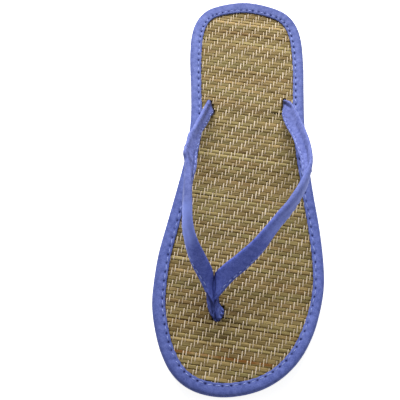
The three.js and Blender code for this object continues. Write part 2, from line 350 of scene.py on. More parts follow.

# Creases on the straps, which bend the whole cloth and carry painted shade; a row without height only
# paints shade on it, and painted light where its shade is below zero
FRONT = 1  # away from the foot
BACK = -1
STRAP_THREAD_RADIUS = {FRONT: 0.28, BACK: 0.18}
OUTER_CREASES = [
    # face, from station, across, to station, across, width, height, shade (painted shade; below zero,
    # painted light)
    (BACK, 14, 0.4, 13.5, 1, 0.9, -1.1, 0.5),
    (BACK, 13.5, 1, 12.9, 2.4, 1, -0.9, 0.3),
    (BACK, 14, 3, 13, 4, 1.2, 0.5, 0),
    (BACK, 13.9, -3.2, 13.3, -3.4, 1.1, 0.5, 0),
    (BACK, 12.7, -4.2, 12.4, -1.5, 0.9, -0.5, 0),
    (BACK, 11.8, 0.4, 10.6, 0.9, 1.2, -0.5, 0),
    (BACK, 10.8, 0.9, 9.6, 0.9, 1.1, -0.8, 0.15),
    (BACK, 12.9, -0.6, 12.2, 1.6, 1.2, -0.22, 0),
    (BACK, 12.7, 0.5, 10.7, 0.5, 7, 0, 0.11),
    (BACK, 11.4, -1.6, 10.9, -3.6, 0.8, 0.25, 0),
    (FRONT, 5.2, 2, 6.4, -1.5, 1.6, -0.22, 0),
    (FRONT, 7.2, 1.5, 8.4, -1, 1.5, -0.22, 0),
    (FRONT, 9, 0.5, 6.6, 0.5, 9, 0, -0.34),
    (FRONT, 2.2, 3.8, 3.9, 5.6, 1, -0.4, 0.8),
    (FRONT, 3.65, 5.4, 3.15, -2, 1.1, -0.1, 0.75),
    (BACK, 1.2, -5.4, 3.1, -3.5, 0.9, -0.3, 0.9),
    (BACK, 1.3, -3.6, 2.4, -2, 0.6, 0.8, -0.9),
    (BACK, 1.3, -1.4, 2.4, -0.2, 0.6, 0.8, -0.9),
    (BACK, 1.3, 0.8, 2.3, 1.4, 0.6, 0.7, -0.7),
    (BACK, 1.3, -2.5, 2.4, -1.1, 0.5, -0.4, 0.45),
    (BACK, 1.3, -0.3, 2.4, 0.6, 0.5, -0.4, 0.45),
    (BACK, 2.2, 2, 2.4, 2.3, 0.8, -1, 0.9),
]
INNER_CREASES = [
    (BACK, 13.9, 1, 13, 0.2, 1.4, -0.4, 0.08),
    (BACK, 13, 0.2, 11.4, -0.8, 1.8, -0.25, 0.04),
    (BACK, 12.8, 2.8, 11.2, 2.6, 3, 0, -0.12),
    (BACK, 12.5, -2.6, 11, -3, 4, 0, 0.12),
    (BACK, 14, -3.4, 13.5, -2.6, 1.1, 0.5, 0),
    (BACK, 13.6, 3.6, 11.2, 3.6, 1.3, 0.25, 0),
    (BACK, 11, -2.5, 9.3, -2.6, 0.9, -0.55, 0.5),
    (BACK, 11.2, -4.2, 9.4, -4.2, 1.2, 0, 0.22),
    (FRONT, 7.55, 3, 6.4, 1.8, 10, 0, -0.66),
    (FRONT, 7.2, -3, 5.3, -4.8, 5, 0, -0.38),
    (BACK, 10.3, 4.5, 10.1, 1, 1, 0.5, 0),
    (BACK, 10.7, 3, 10.5, 0.6, 0.9, -0.5, 0),
    (FRONT, 5.4, -1.8, 6.6, 1.6, 1.6, -0.22, 0),
    (FRONT, 7.4, -1.5, 8.4, 1.5, 1.4, -0.22, 0),
    (FRONT, 2.2, 3.4, 3.9, 5.2, 1, -0.4, 0.8),
    (FRONT, 3.65, 5, 3.1, -2, 1.1, -0.1, 0.75),
    (BACK, 3.5, -4.9, 2.3, -4.4, 0.7, -0.4, 0.8),
]

# Slits in the mat
SLIT_POWER = 3  # of the rounded oblong that a slit is
SLITS = [
    # x, y, along x, along y, half length, half width
    (-11.2, -77.6, 0, 1, 4.5, 3.8),
    (23.8, 53, 0.05, 1, 4.4, 1.5),
    (-20.4, 49, -0.3, 0.95, 5.2, 1.9),
]

# Camera: the photo's angle to the slipper
VIEW_AZIMUTH = math.radians(2.74)
VIEW_ELEVATION = math.radians(68)
VIEW_DISTANCE = 569.2
VIEW_TARGET = (-24.16, -11.28, MAT_TOP)
VIEW_LENS = 88

# Light and floor, in metres
KEY_PLACE = (-0.10, 0.52, 0.54)
KEY_AIM = (0.0, 0.02, 0.0)
FLOOR_HALF = 4.0


def smooth_step(low, high, value):
    share = np.clip((value - low) / (high - low), 0, 1)
    return share * share * (3 - 2 * share)


def bell(distance, reach):
    return np.exp(-((distance / reach) ** 2))


def spot(along, across, reach):
    return bell(along, reach[0]) * bell(across, reach[1])


def smooth_noise(positions, pitch, amount):
    """A smooth random height along a line, with a new value every pitch."""
    low, high = positions.min() - pitch, positions.max() + 2 * pitch
    knots = np.arange(low, high + pitch, pitch)
    values = RNG.normal(0, amount, len(knots))
    place = (positions - low) / pitch
    index = np.floor(place).astype(int)
    share = smooth_step(0, 1, place - index)
    return values[index] * (1 - share) + values[index + 1] * share


def varied(positions, spread, *waves):
    """A random value with random waves along a line."""
    value = RNG.normal(*spread)
    for wave in waves:
        value = value + smooth_noise(positions, *wave)
    return value


def lengths_along(points):
    """The distance of each point along the line that they make."""
    return np.concatenate([[0], np.cumsum(np.linalg.norm(np.diff(points, axis=0), axis=1))])


def columns_at(distance, along, values):
    """Rows of values between those that are known at places along."""
    return np.stack([np.interp(distance, along, column) for column in values.T], axis=1)


def eased(rows, places, span=(0, 1)):
    """Columns of a table whose rows start with their place, eased in a span of the way from row to row."""
    rows = np.array(rows, float)
    index = np.clip(np.searchsorted(rows[:, 0], places, side="right") - 1, 0, len(rows) - 2)
    low, high = rows[index], rows[index + 1]
    share = smooth_step(*span, (places - low[:, 0]) / (high[:, 0] - low[:, 0]))[:, None]
    return (low[:, 1:] * (1 - share) + high[:, 1:] * share).T


def curve_through(rows, steps, closed=False):
    """Points on the centripetal Catmull-Rom curve through rows, with steps to each span."""
    rows = np.asarray(rows, float)
    if closed:
        padded = np.vstack([rows[-1:], rows, rows[:2]])
    else:
        padded = np.vstack([2 * rows[:1] - rows[1:2], rows, 2 * rows[-1:] - rows[-2:-1]])
    share = (np.arange(steps) / steps)[:, None]
    touching = 1e-4
    found = []
    for p0, p1, p2, p3 in zip(padded, padded[1:], padded[2:], padded[3:]):
        gap = np.sqrt([np.linalg.norm(p1 - p0), np.linalg.norm(p2 - p1), np.linalg.norm(p3 - p2)])
        if gap[1] < touching:
            gap[1] = 1.0
        before, here, after = np.where(gap < touching, gap[1], gap)
        start = ((p1 - p0) / before - (p2 - p0) / (before + here) + (p2 - p1) / here) * here
        end = ((p2 - p1) / here - (p3 - p1) / (here + after) + (p3 - p2) / after) * here
        square = -3 * p1 + 3 * p2 - 2 * start - end
        cube = 2 * p1 - 2 * p2 + start + end
        found.append(p1 + start * share + square * share**2 + cube * share**3)
    if not closed:
        found.append(rows[-1:])
    return np.vstack(found)


def unit(vectors):
    return vectors / np.linalg.norm(vectors, axis=-1, keepdims=True)


# Meshes

def turn_outwards(mesh, points):
    """Turns a closed mesh's faces round if they look inwards, which its signed volume tells."""
    mesh.calc_loop_triangles()
    corners = np.empty(len(mesh.loop_triangles) * 3, np.int32)
    mesh.loop_triangles.foreach_get("vertices", corners)
    first, second, third = points[corners.reshape(-1, 3)].transpose(1, 0, 2)
    if np.sum(first * np.cross(second, third)) < 0:
        mesh.flip_normals()


def add_to_scene(name, data):
    thing = bpy.data.objects.new(name, data)
    bpy.context.scene.collection.objects.link(thing)
    return thing


def make_piece(name, points, faces, material, attributes=None):
    """A smooth-shaded mesh from points in millimetres, riding on the slipper's one body."""
    mesh = bpy.data.meshes.new(name)
    mesh.from_pydata((np.asarray(points) * MM).tolist(), [], [list(face) for face in faces])
    turn_outwards(mesh, np.asarray(points))
    mesh.shade_smooth()
    for key, values in (attributes or {}).items():
        values = np.asarray(values, np.float32)
        kind, field = ("FLOAT", "value") if values.ndim == 1 else ("FLOAT_VECTOR", "vector")
        mesh.attributes.new(key, kind, "POINT").data.foreach_set(field, values.ravel())
    mesh.materials.append(material)
    piece = add_to_scene(name, mesh)
    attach(piece, "root")
    return piece


def grid_faces(rows, columns, first=0, closed_rows=False, closed_columns=False):
    """Quads over a grid of points stored row by row."""
    spans = rows if closed_rows else rows - 1, columns if closed_columns else columns - 1
    row, column = np.indices(spans).reshape(2, -1)
    beside = (column + 1) % columns
    this_row = first + row * columns
    next_row = first + (row + 1) % rows * columns
    return np.stack([this_row + column, this_row + beside, next_row + beside, next_row + column], axis=1)


def tube_faces(stations, sides, first=0):
    """Quads of a tube whose rings are stored one after another, with a cap at each end."""
    faces = grid_faces(stations, sides, first, closed_columns=True).tolist()
    faces.append([first + i for i in range(sides - 1, -1, -1)])
    last = first + (stations - 1) * sides
    faces.append([last + i for i in range(sides)])
    return faces


class Joined:
    """Collects many small meshes, with values for each point, into one piece."""

    def __init__(self):
        self.points, self.faces, self.values, self.count = [], [], {}, 0

    def add_tube(self, rings, **values):
        stations, sides = rings.shape[:2]
        self.faces += tube_faces(stations, sides, self.count)
        self.points.append(rings.reshape(-1, 3))
        for key, value in values.items():
            self.values.setdefault(key, []).append(value.reshape(stations * sides, *value.shape[2:]))
        self.count += stations * sides

    def piece(self, name, material, slot):
        attributes = {key: np.concatenate(value) for key, value in self.values.items()}
        make_piece(name, np.vstack(self.points), self.faces, material, attributes)


# Outline of the footbed

def outline_from_foam():
    """The footbed's outline: a smooth line through the foam's top ring, moved out to the bound edge."""
    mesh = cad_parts["outsole"].data
    points = np.empty(len(mesh.vertices) * 3)
    mesh.vertices.foreach_get("co", points)
    points = points.reshape(-1, 3) / MM
    top = np.isclose(points[:, 2], FOAM_TOP, atol=0.01)
    ring = np.unique(points[top, :2].round(3), axis=0)
    ring = ring[np.argsort(np.arctan2(ring[:, 1], ring[:, 0]))]
    fine = curve_through(ring, steps=12, closed=True)
    return fine - inward_of(fine) * FOAM_INSET_TOP


def inward_of(ring):
    ahead = np.roll(ring, -1, axis=0) - np.roll(ring, 1, axis=0)
    return unit(np.stack([-ahead[:, 1], ahead[:, 0]], axis=1))


class Edge:
    """The outline by distance along it, with its inward direction."""

    def __init__(self, ring):
        self.closed = np.vstack([ring, ring[:1]])
        self.along = lengths_along(self.closed)
        self.length = self.along[-1]
        inward = inward_of(ring)
        self.inward = np.vstack([inward, inward[:1]])

    def at(self, distance):
        distance = np.mod(distance, self.length)
        place = columns_at(distance, self.along, self.closed)
        return place, unit(columns_at(distance, self.along, self.inward))

    def points(self, distance, inset, height):
        """Points at a distance along the edge, an inset from it and a height."""
        place, inward = self.at(distance)
        flat = place + inward * np.broadcast_to(inset, distance.shape)[:, None]
        return np.column_stack([flat, np.broadcast_to(height, distance.shape)])


EDGE = Edge(outline_from_foam())


def spots_at(rows, x, y):
    """The sum of soft round spots, each given by its place, reach and amount."""
    total = 0
    for spot_x, spot_y, reach, amount in rows:
        total = total + amount * np.exp(-((x - spot_x) ** 2 + (y - spot_y) ** 2) / reach**2)
    return total


def tape_shift(distance):
    return spots_at(TAPE_SHIFT, *EDGE.at(distance)[0].T)


def reach_of(inset, samples=1500):
    """A function that gives how far the footbed reaches from the origin in a direction, less an inset."""
    distance = np.linspace(0, EDGE.length, samples, endpoint=False)
    ring = EDGE.points(distance, inset + tape_shift(distance), 0.0)
    angle = np.arctan2(ring[:, 1], ring[:, 0])
    order = np.argsort(angle)
    radius = np.hypot(ring[:, 0], ring[:, 1])[order]
    return lambda turn: np.interp(turn, angle[order], radius, period=2 * math.pi)


WEAVE_REACH = reach_of(WEAVE_INSET)
TAPE_REACH = reach_of(TAPE_WIDTH)


def in_weave(x, y):
    inside = np.hypot(x, y) < WEAVE_REACH(np.arctan2(y, x))
    for slit_x, slit_y, along_x, along_y, half_length, half_width in SLITS:
        size = math.hypot(along_x, along_y)
        along = ((x - slit_x) * along_x + (y - slit_y) * along_y) / size
        across = ((x - slit_x) * along_y - (y - slit_y) * along_x) / size
        inside &= np.abs(along / half_length) ** SLIT_POWER + np.abs(across / half_width) ** SLIT_POWER > 1
    return inside


def groove_along_tape(x, y):
    """How far the sewn tape presses the weave down beside its inner edge, less towards the heel."""
    clear = TAPE_REACH(np.arctan2(y, x)) - np.hypot(x, y)
    return TAPE_GROOVE * smooth_step(*GROOVE_SPAN, clear) * smooth_step(*GROOVE_HEEL_SPAN, y)


# Materials

class Look:
    """A material, with the nodes that lead to its shader."""

    def __init__(self, name, roughness, specular, **sockets):
        self.material = bpy.data.materials.new(name)
        self.material.use_nodes = True
        self.tree = self.material.node_tree
        self.inputs = self.tree.nodes["Principled BSDF"].inputs
        self.inputs["Roughness"].default_value = roughness
        self.inputs["Specular IOR Level"].default_value = specular
        for key, value in sockets.items():
            self.inputs[key.replace("_", " ")].default_value = value

    def node(self, kind, inputs, **settings):
        """A new node, whose inputs are linked to other nodes or set to a number or a colour."""
        node = self.tree.nodes.new(kind)
        for key, value in settings.items():
            setattr(node, key, value)
        for key, value in inputs.items():
            if isinstance(value, bpy.types.NodeSocket):
                self.tree.links.new(value, node.inputs[key])
            else:
                node.inputs[key].default_value = (*value, 1) if isinstance(value, tuple) else value
        return node

    def noise(self, scale, detail=3, roughness=0.5, vector=None):
        if vector is None:
            vector = self.node("ShaderNodeTexCoord", {}).outputs["Object"]
        inputs = {"Vector": vector, "Scale": scale, "Detail": detail, "Roughness": roughness}
        return self.node("ShaderNodeTexNoise", inputs).outputs["Fac"]

    def ramp(self, factor, stops):
        node = self.node("ShaderNodeValToRGB", {"Fac": factor})
        elements = node.color_ramp.elements
        while len(elements) < len(stops):
            elements.new(0.5)
        for element, (place, colour) in zip(elements, stops):
            element.position = place
            element.color = (*colour, 1)
        return node.outputs["Color"]

    def mix(self, factor, first, second, blend="MIX"):
        inputs = {0: factor, 6: first, 7: second}
        return self.node("ShaderNodeMix", inputs, data_type="RGBA", blend_type=blend).outputs[2]

    def math(self, operation, first, second):
        return self.node("ShaderNodeMath", {0: first, 1: second}, operation=operation).outputs["Value"]

    def around_half(self, factor, amount):
        """How far a factor is from one half, times an amount."""
        return self.math("MULTIPLY", self.math("SUBTRACT", factor, 0.5), amount)

    def attribute(self, name, output="Fac"):
        return self.node("ShaderNodeAttribute", {}, attribute_name=name).outputs[output]

    def surface(self, colour, height=None, strength=0.5, distance=0.0003):
        """The finished material, with its colour and the bump that a height gives."""
        self.tree.links.new(colour, self.inputs["Base Color"])
        if height is not None:
            inputs = {"Strength": strength, "Distance": distance, "Height": height}
            bump = self.node("ShaderNodeBump", inputs)
            self.tree.links.new(bump.outputs["Normal"], self.inputs["Normal"])
        return self.material


def foam_material():
    look = Look("foam", roughness=0.82, specular=0.3)
    cells = look.noise(scale=2600, detail=2)
    colour = look.ramp(cells, [(0.3, (0.006, 0.006, 0.007)), (0.75, (0.022, 0.022, 0.024))])
    return look.surface(colour, cells)


def board_material():
    look = Look("board", roughness=0.9, specular=0.2)
    grain = look.noise(scale=700)
    colour = look.ramp(grain, [(0.3, (0.022, 0.014, 0.006)), (0.8, (0.055, 0.037, 0.016))])
    return look.surface(colour, grain, strength=0.4)


def straw_material():
    """Straw strips: each has its own tone, with long fibres and a soft natural gloss."""
    look = Look("straw", roughness=0.55, specular=0.15)
    streaks = look.noise(scale=1, detail=4, roughness=0.6, vector=look.attribute("fibre", "Vector"))
    shade = look.math("ADD", look.attribute("tone"), look.around_half(streaks, amount=1.15))
    colour = look.ramp(shade, [
        (0, (0.042, 0.023, 0.006)),
        (0.25, (0.115, 0.076, 0.022)),
        (0.5, (0.184, 0.136, 0.055)),
        (0.75, (0.255, 0.195, 0.08)),
        (1, (0.43, 0.335, 0.165)),
    ])
    tint = look.mix(look.attribute("green"), (1.08, 0.965, 0.87), (0.94, 1, 0.86))
    tinted = look.mix(1, colour, tint, "MULTIPLY")
    rusty = look.mix(look.attribute("rust"), tinted, (0.15, 0.06, 0.006))
    return look.surface(rusty, streaks, strength=0.35, distance=0.0002)


def warp_material():
    look = Look("warp_thread", roughness=0.75, specular=0.3)
    fuzz = look.noise(scale=1800)
    shade = look.math("ADD", look.attribute("tone"), look.around_half(fuzz, amount=0.5))
    colour = look.ramp(shade, [
        (0, (0.22, 0.16, 0.1)),
        (0.5, (0.53, 0.43, 0.29)),
        (1, (0.78, 0.68, 0.56)),
    ])
    return look.surface(colour, fuzz, distance=0.0002)


def cloth_material(name, dark, light, grain_scale):
    """Blue cloth: a fine grain, a mottled tone, a painted sheen, painted light, and painted shade in
    needle holes, folds and dark patches.
    """
    look = Look(name, roughness=0.65, specular=0.12)
    grain = look.noise(grain_scale, roughness=0.6)
    mottle = look.noise(scale=420, detail=2)
    shade = look.math("ADD", look.math("MULTIPLY", grain, 0.5), look.math("MULTIPLY", mottle, 0.5))
    colour = look.ramp(shade, [(0.37, dark), (0.63, light)])
    # A painted sheen where the key light falls, painted light on lit ridges and faces, and painted shade
    # in holes, folds and patches
    sheen_tint = look.mix(look.attribute("painted_sheen"), (1, 1, 1), (1.2, 1.08, 0.8))
    painted_sheen = look.mix(1, colour, sheen_tint, "MULTIPLY")
    painted_light = look.mix(look.attribute("painted_light"), painted_sheen, (0.26, 0.335, 0.86))
    shaded = look.mix(look.attribute("painted_shade"), painted_light, (0.006, 0.01, 0.075))
    return look.surface(shaded, grain, strength=0.35, distance=0.00025)


def thread_material():
    look = Look("sewing_thread", roughness=0.6, specular=0.4)
    fuzz = look.noise(scale=3000, detail=2)
    return look.surface(look.ramp(fuzz, [(0.3, (0.17, 0.22, 0.54)), (0.7, (0.36, 0.43, 0.76))]))


def floor_material():
    look = Look("floor", roughness=0.9, specular=0.1, Emission_Color=(1, 1, 1, 1), Emission_Strength=0.8)
    speck = look.noise(scale=30, detail=2)
    return look.surface(look.ramp(speck, [(0.3, (0.87, 0.87, 0.87)), (0.7, (0.9, 0.9, 0.9))]))


FOAM = foam_material()
BOARD = board_material()
STRAW = straw_material()
WARP = warp_material()
TAPE = cloth_material("tape_cloth", (0.068, 0.094, 0.305), (0.138, 0.177, 0.48), grain_scale=1500)
STRAP = cloth_material("strap_cloth", (0.059, 0.084, 0.345), (0.12, 0.161, 0.533), grain_scale=1700)
THREAD = thread_material()


# Sole and board

def make_layer(name, profile, material, steps):
    """A closed piece from rings round the footbed, each at an inset and a height."""
    distance = np.linspace(0, EDGE.length, steps, endpoint=False)
    rings = np.stack([EDGE.points(distance, inset, height) for inset, height in profile])
    return make_piece(name, rings.reshape(-1, 3), tube_faces(len(profile), steps), material)


def make_sole():
    profile = [
        (FOAM_INSET_FLOOR + FOAM_CAP_INSET, 0.0),
        (FOAM_INSET_FLOOR + FOAM_ROUND, 0.0),
        (FOAM_INSET_FLOOR + 0.2, 0.15),
        (FOAM_INSET_FLOOR, FOAM_ROUND),
        (FOAM_INSET_FLOOR - 0.35, FOAM_TOP * 0.35),
        (FOAM_INSET_TOP + 0.2, FOAM_TOP * 0.75),
        (FOAM_INSET_TOP, FOAM_TOP - 0.3),
        (FOAM_INSET_TOP + 0.3, FOAM_TOP),
        (FOAM_INSET_TOP + FOAM_CAP_INSET, FOAM_TOP),
    ]
    sole = make_layer("foam_sole", profile, FOAM, steps=700)
    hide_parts("outsole")


def make_board():
    profile = [
        (BOARD_CAP_INSET, MAT_BOTTOM - 0.2),
        (NOSE_RADIUS, MAT_BOTTOM + 0.5),
        (NOSE_RADIUS, BOARD_TOP),
        (BOARD_CAP_INSET, BOARD_TOP),
    ]
    board = make_layer("mat_board", profile, BOARD, steps=500)
    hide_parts("insole")


# Weave

WEAVE_COS = math.cos(WEAVE_TURN)
WEAVE_SIN = math.sin(WEAVE_TURN)


def over(warp, weft):
    """1 where the warp thread lies over the weft, -1 where it lies under it."""
    return np.where((weft - warp) % TWILL_REPEAT < TWILL_OVER, 1.0, -1.0)


def to_part(u, v):
    """From distances along the weft and the warp to the part's x and y."""
    return u * WEAVE_COS + v * WEAVE_SIN, v * WEAVE_COS - u * WEAVE_SIN


def runs_of(mask, shortest=4):
    """Start and end of each stretch where mask holds."""
    edges = np.flatnonzero(np.diff(np.concatenate([[0], mask.astype(int), [0]])))
    return [(start, end) for start, end in zip(edges[::2], edges[1::2]) if end - start >= shortest]


def strip_rings(u, v, height, across_u, across_v, across, up):
    """Rings of a strip that runs through u and v, from offsets across it and up."""
    x, y = to_part(u[:, None] + across * across_u, v[:, None] + across * across_v)
    return np.stack([x, y, height[:, None] + up], axis=-1)


def lay_wefts():
    """Middle and width of each straw strip from the toe to the heel; no two are quite alike."""
    middles, widths = [], []
    low = -WEAVE_END
    while low < WEAVE_END:
        share = float(smooth_step(*WEFT_PITCH_SPAN, low))
        pitch = WEFT_PITCH_TOE + (WEFT_PITCH_HEEL - WEFT_PITCH_TOE) * share
        change = np.clip(RNG.normal(0, WEFT_WIDTH_CHANGE), -WEFT_WIDTH_LIMIT, WEFT_WIDTH_LIMIT)
        width = pitch * (1 + change)
        middles.append(low + width / 2)
        widths.append(width)
        low += width
    return np.array(middles), np.array(widths)


def warp_drift(v):
    return -WARP_DRIFT * np.maximum(v - WARP_DRIFT_FROM, 0) ** 2


WEFT_V, WEFT_WIDTHS = lay_wefts()
WEFTS = np.arange(len(WEFT_V))
WARPS = np.arange(-WARP_COUNT, WARP_COUNT + 1)
WARP_U = WARPS * WARP_PITCH + RNG.normal(0, WARP_PLACE_CHANGE, len(WARPS))
WEFT_SECTION = np.array([
    # share of the half width, share of the half thickness
    (-0.9, -1), (-1, 0.35), (-0.86, 0.8), (-0.45, 0.97), (-0.05, 0.88),
    (0.4, 1), (0.86, 0.82), (1, 0.35), (0.9, -1),
])
WEFT_EDGES = [1, 7]  # the section's points where two strips meet
WEFT_CROWN = slice(3, 6)  # and those on its top
WARP_SECTION = np.array([(-0.7, -1), (-1, 0.1), (-0.5, 0.9), (0.5, 0.9), (1, 0.1), (0.7, -1)])
# Steps along a strip from a thread's middle: its dip under or swell over the thread there, and the painted
# shade in its dip
STRIP_STEPS = np.array([-0.885, -0.57, -0.32, 0.32, 0.57])
DIP_UNDER = np.array([0, -0.04, -0.26, -0.26, -0.04])
SWELL_OVER = np.array([0, 0.03, 0.05, 0.05, 0.03])
DIP_PAINTED_SHADE = np.array([0, -0.04, -0.2, -0.2, -0.04])


def window(low, high, positions, ease=4.0):
    return smooth_step(low, low + ease, positions) * smooth_step(high, high - ease, positions)


def drawn_edge(weft, step, u):
    """How far a weft's edge draws back: where threads dive beside it and where a gap has opened."""
    places = WARP_U + warp_drift(WEFT_V[weft])
    beside = weft + step
    dives = places[over(WARPS, weft) != over(WARPS, beside)]
    drawn = PINCH * bell(u[:, None] - dives, PINCH_REACH).max(axis=1)
    edge = WEFT_V[weft] + step * WEFT_WIDTHS[weft] / 2
    for v, low, high, opening in GAPS:
        if abs(edge - v) < GAP_CATCH:
            drawn = drawn + opening * window(low, high, u)
    return drawn


def accent_of(weft, u, across):
    """Extra tone and warmth on a weft's half towards the heel, and rust on most of its width."""
    tone, rust, warmth = np.zeros((3, *across.shape))
    half = smooth_step(*ACCENT_SPAN, across)
    most = smooth_step(*RUST_SPAN, across)
    for v, low, high, lighter, rusty, warm in ACCENTS:
        if abs(WEFT_V[weft] - v) < WEFT_PITCH_TOE / 2:
            here = window(low, high, u)[:, None]
            tone += lighter * here * half
            rust += rusty * here * most
            warmth += warm * here * half
    return tone, rust, warmth


WEFT_PIECES = [
    # name, and the lowest place along the warp that it holds
    ("weave_wefts_heel", 55.0),
    ("weave_wefts_arch", 0.0),
    ("weave_wefts_ball", -60.0),
    ("weave_wefts_toe", -WEAVE_END),
]


def weft_shape(weft, u, v, under):
    """Rings of a straw strip, the places of its points across it, and its own section."""
    height = np.where(under, DIP_UNDER, SWELL_OVER).ravel() - groove_along_tape(*to_part(u, v))
    height += varied(u, *WEFT_HEIGHT)
    half_thick = WEFT_THICK / 2 * RNG.normal(1, WEFT_THICK_CHANGE)
    half_width = WEFT_WIDTHS[weft] / 2 * (1 + smooth_noise(u, *WEFT_WIDTH_WAVE))
    section = WEFT_SECTION.copy()
    section[WEFT_CROWN, 0] += RNG.normal(0, WEFT_CROWN_CHANGE)
    section[WEFT_EDGES, 1] = np.clip(RNG.normal(*WEFT_EDGE_SPREAD, len(WEFT_EDGES)), *WEFT_EDGE_RANGE)
    upper = half_width - drawn_edge(weft, 1, u)
    lower = half_width - drawn_edge(weft, -1, u)
    across = np.where(section[:, 0] > 0, upper[:, None], lower[:, None]) * section[:, 0]
    up = np.broadcast_to(half_thick * section[:, 1], across.shape)
    return strip_rings(u, v, height, 0, 1, across, up), across, section


def weft_looks(weft, u, v, under, across, section):
    """Tone, green, rust and place among the fibres at each point of a straw strip."""
    tone = varied(u, *WEFT_TONE)
    # Painted shade in the dips beside the threads, and painted shadow and light in soft patches over the
    # mat
    tone += np.where(under, DIP_PAINTED_SHADE, 0.0).ravel() + spots_at(MAT_SHADE_AND_TONE, *to_part(u, v))
    # Painted light: each strip a little lighter on its side towards the heel
    tone = tone[:, None] + RNG.normal(0, WEFT_TONE_ACROSS, len(section)) + WEFT_PAINTED_LIGHT_TILT * section[:, 0]
    green = np.clip(varied(u, *WEFT_GREEN), 0, 1)
    extra, rust, warmth = accent_of(weft, u, np.broadcast_to(section[:, 0], across.shape))
    blush = np.clip(varied(u, *WEFT_BLUSH), 0, WEFT_BLUSH_MOST)
    patches = RUST_SHARE + smooth_noise(u, *RUST_WAVE)
    fibre = [np.broadcast_to(u[:, None], across.shape), across, np.full(across.shape, weft)]
    return {
        "tone": np.clip(tone + extra, 0, 1),
        "green": green[:, None] * (1 - np.clip(warmth, 0, 1)),
        "rust": np.clip(rust * patches[:, None] + blush[:, None], 0, 1),
        "fibre": np.stack(fibre, axis=-1) * FIBRE_SCALE,
    }


def make_wefts():
    pieces = {name: Joined() for name, low in WEFT_PIECES}
    for weft, v_middle in zip(WEFTS, WEFT_V):
        u = (WARP_U[:, None] + STRIP_STEPS).ravel() + warp_drift(v_middle)
        v = v_middle + smooth_noise(u, *WEFT_WANDER_WAVE)
        under = over(WARPS, weft)[:, None] > 0
        rings, across, section = weft_shape(weft, u, v, under)
        looks = weft_looks(weft, u, v, under, across, section)
        strips = next(pieces[name] for name, low in WEFT_PIECES if v_middle > low)
        for start, end in runs_of(in_weave(*to_part(u, v))):
            strips.add_tube(rings[start:end], **{key: value[start:end] for key, value in looks.items()})
    for name, strips in pieces.items():
        strips.piece(name, STRAW, "rattan")


def make_warps():
    outer_half, inner_half = Joined(), Joined()
    v = np.arange(WEFT_V[0], WEFT_V[-1], WARP_STEP)
    for warp, u_middle in zip(WARPS, WARP_U):
        u = u_middle + warp_drift(v) + smooth_noise(v, *WARP_WANDER_WAVE)
        state = eased(np.column_stack([WEFT_V, over(warp, WEFTS)]), v, WARP_CROSSING_SPAN)[0]
        height = WEAVE_MIDDLE + (WARP_OVER + WARP_UNDER) / 2 + (WARP_OVER - WARP_UNDER) / 2 * state
        height -= groove_along_tape(*to_part(u, v))
        half_width = WARP_WIDTH / 2 * varied(v, *WARP_BREADTH)
        tone = np.clip(varied(v, *WARP_TONE), WARP_TONE_LEAST, 1)
        tone = np.repeat(tone[:, None], len(WARP_SECTION), axis=1)
        across = half_width[:, None] * WARP_SECTION[:, 0]
        up = np.broadcast_to(WARP_THICK / 2 * WARP_SECTION[:, 1], across.shape)
        rings = strip_rings(u, v, height, 1, 0, across, up)
        threads = outer_half if warp > 0 else inner_half
        for start, end in runs_of(in_weave(*to_part(u, v))):
            threads.add_tube(rings[start:end], tone=tone[start:end])
    outer_half.piece("weave_warps_outer", WARP, "rattan")
    inner_half.piece("weave_warps_inner", WARP, "rattan")


# Binding tape

def lay_holes(samples=4000):
    """Distances along the edge of the needle holes, closer together round the heel."""
    distance = np.linspace(0, EDGE.length, samples)
    heel = smooth_step(*STITCH_PITCH_SPAN, EDGE.at(distance)[0][:, 1])
    pitch = STITCH_PITCH_TOE + (STITCH_PITCH_HEEL - STITCH_PITCH_TOE) * heel
    count = np.concatenate([[0], np.cumsum(np.diff(distance) / pitch[1:])])
    stitches = round(count[-1])
    return np.interp(np.arange(stitches + 1), count * stitches / count[-1], distance)


HOLES = lay_holes()


def tape_profile():
    """Insets and heights over the tape from its inner edge, round the nose, to under the mat."""
    rows = [
        (TAPE_WIDTH - 0.25, MAT_TOP - 0.2),
        (TAPE_WIDTH, MAT_TOP + TAPE_LIFT),
        (TAPE_WIDTH - 0.05, MAT_TOP + 0.62),
        (TAPE_WIDTH - 0.35, MAT_TOP + 0.86),
        (TAPE_WIDTH - 0.8, MAT_TOP + 0.98),
        (SEAM_INSET + 0.45, TAPE_TOP - 0.18),
        (SEAM_INSET + 0.2, TAPE_TOP - 0.20),
        (SEAM_INSET, TAPE_TOP - 0.20),
        (SEAM_INSET - 0.2, TAPE_TOP - 0.18),
        (SEAM_INSET - 0.45, TAPE_TOP - 0.12),
        (SEAM_INSET - 1.0, TAPE_TOP - 0.02),
        (SEAM_INSET - 1.8, TAPE_TOP + 0.04),
        (SEAM_INSET - 2.6, TAPE_TOP),
    ]
    for turn in np.radians(NOSE_ANGLES):
        rows.append((NOSE_RADIUS * (1 - math.cos(turn)), NOSE_HEIGHT + NOSE_RADIUS * math.sin(turn)))
    tucked = [(NOSE_RADIUS + TUCK, MAT_BOTTOM + rise) for rise in (0.05, 0.5)]
    return rows + tucked


